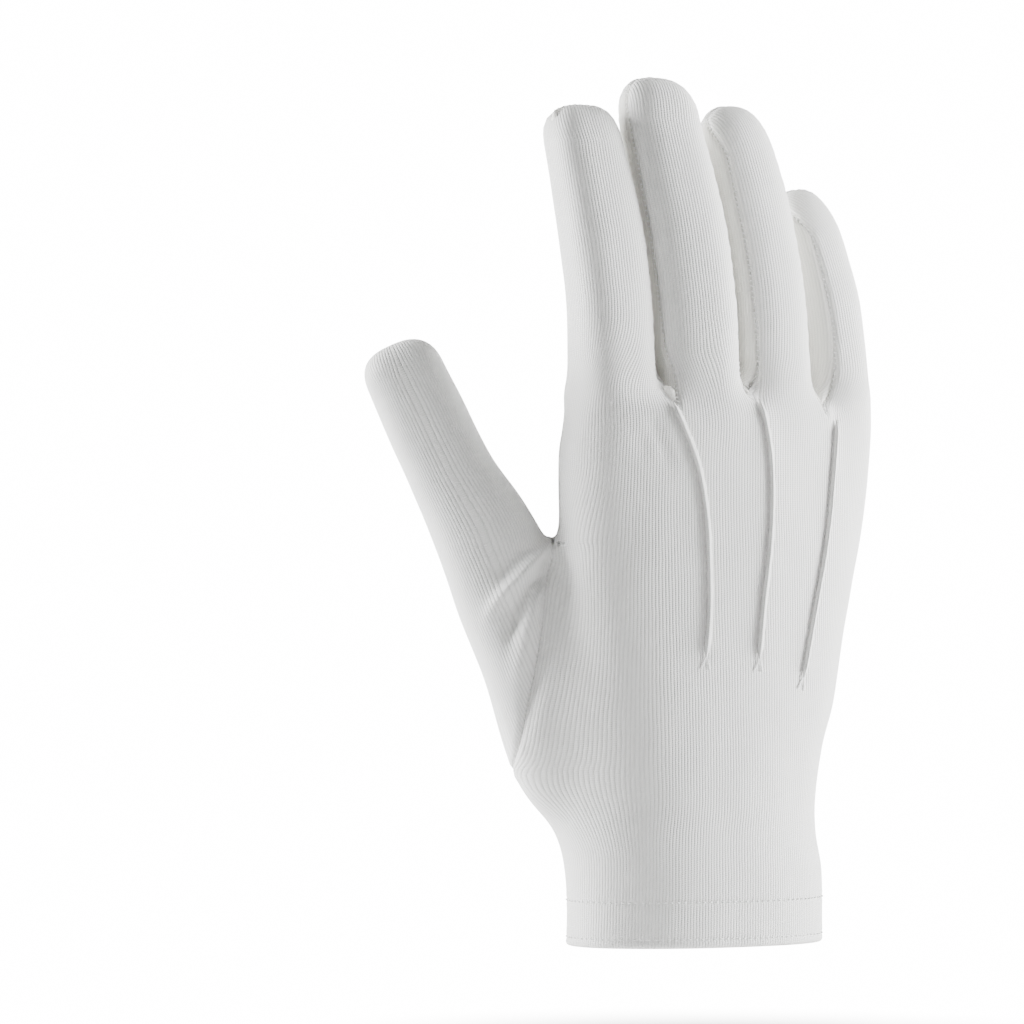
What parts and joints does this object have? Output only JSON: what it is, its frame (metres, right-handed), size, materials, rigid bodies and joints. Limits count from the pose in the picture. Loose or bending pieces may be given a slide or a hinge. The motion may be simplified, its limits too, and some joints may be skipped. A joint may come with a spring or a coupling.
{
  "type": "white parade glove",
  "caption": "Hollow right-hand dress glove in stretch knit with fold-in side strips at the fingers, raised back tucks, a wrist vent and a press-stud flap.",
  "frame": {"origin": "centre of the cuff's opening, in the plane of the cuff's edge", "axes": "+Z from the cuff to the fingertips, -Y the back of the hand, +Y the palm, -X the thumb's side and +X the little finger's side"},
  "size_m": [0.1407, 0.0717, 0.2404],
  "materials": {
    "cloth": "fine ribbed white nylon knit with a soft sheen",
    "thumb_cloth": "fine ribbed white nylon knit with a soft sheen",
    "fourchette_cloth": "the same knit, slightly ivory",
    "tuck_cloth": "the same knit pinched into a stitched ridge",
    "hem_cloth": "the same knit turned inside",
    "binding_cloth": "rolled edge of the same knit",
    "snap_metal": "satin pale grey-green enamel"
  },
  "bodies": {
    "root": {"trank": "cloth", "thumb": "thumb_cloth", "fourchette_index_middle": "fourchette_cloth", "fourchette_middle_ring": "fourchette_cloth", "fourchette_ring_little": "fourchette_cloth", "back_point_1": "tuck_cloth", "back_point_2": "tuck_cloth", "back_point_3": "tuck_cloth", "hem_turn": "hem_cloth", "vent_facing": "hem_cloth", "vent_binding": "binding_cloth", "snap_cap": "snap_metal", "snap_post": "snap_metal"}
  },
  "joints": []
}
